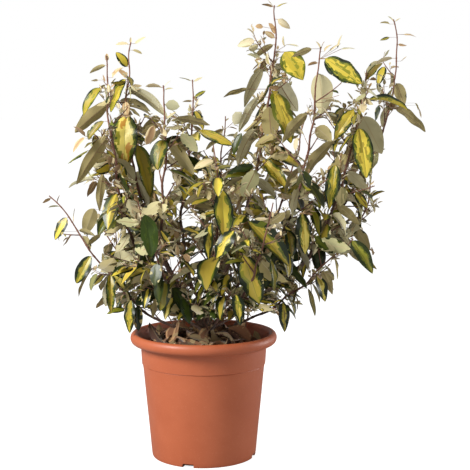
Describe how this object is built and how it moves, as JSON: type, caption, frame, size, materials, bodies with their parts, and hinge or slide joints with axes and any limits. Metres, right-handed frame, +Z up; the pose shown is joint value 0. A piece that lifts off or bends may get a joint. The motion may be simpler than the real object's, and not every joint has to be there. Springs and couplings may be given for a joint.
{
  "type": "potted elaeagnus shrub",
  "caption": "Evergreen shrub with many upright arching stems and yellow-centred leaves, in a round tapered plastic plant pot with a rolled rim.",
  "frame": {"origin": "centre of the pot's flat underside, on the surface that the pot stands on", "axes": "+Z up along the pot's axis, -Y towards the side that the picture shows, +X to the right of that view"},
  "size_m": [0.682, 0.4644, 0.7922],
  "materials": {
    "pot_plastic": "satin terracotta-coloured plastic",
    "soil": "dark moist potting soil, matte",
    "bark": "reddish brown bark, matte",
    "foliage": "green leaves with yellow centres and silvery undersides"
  },
  "bodies": {
    "root": {"bough_back_left": "bark", "bough_back_left_low": "bark", "bough_back_mid": "bark", "bough_back_right": "bark", "bough_back_right_low": "bark", "bough_back_skirt": "bark", "bough_centre_left": "bark", "bough_centre_tall": "bark", "bough_front_left": "bark", "bough_front_mid": "bark", "bough_front_right": "bark", "bough_front_skirt": "bark", "bough_left_inner": "bark", "bough_left_low": "bark", "bough_left_outer": "bark", "bough_left_tall": "bark", "bough_right_inner": "bark", "bough_right_low": "bark", "bough_right_mid": "bark", "bough_right_side": "bark", "bough_right_tall": "bark", "foliage_back_left": "foliage", "foliage_back_left_low": "foliage", "foliage_back_mid": "foliage", "foliage_back_right": "foliage", "foliage_back_right_low": "foliage", "foliage_back_skirt": "foliage", "foliage_centre_left": "foliage", "foliage_centre_tall": "foliage", "foliage_front_left": "foliage", "foliage_front_mid": "foliage", "foliage_front_right": "foliage", "foliage_front_skirt": "foliage", "foliage_left_inner": "foliage", "foliage_left_low": "foliage", "foliage_left_outer": "foliage", "foliage_left_tall": "foliage", "foliage_right_inner": "foliage", "foliage_right_low": "foliage", "foliage_right_mid": "foliage", "foliage_right_side": "foliage", "foliage_right_tall": "foliage", "pot": "pot_plastic", "soil": "soil", "trunk": "bark"}
  },
  "joints": []
}
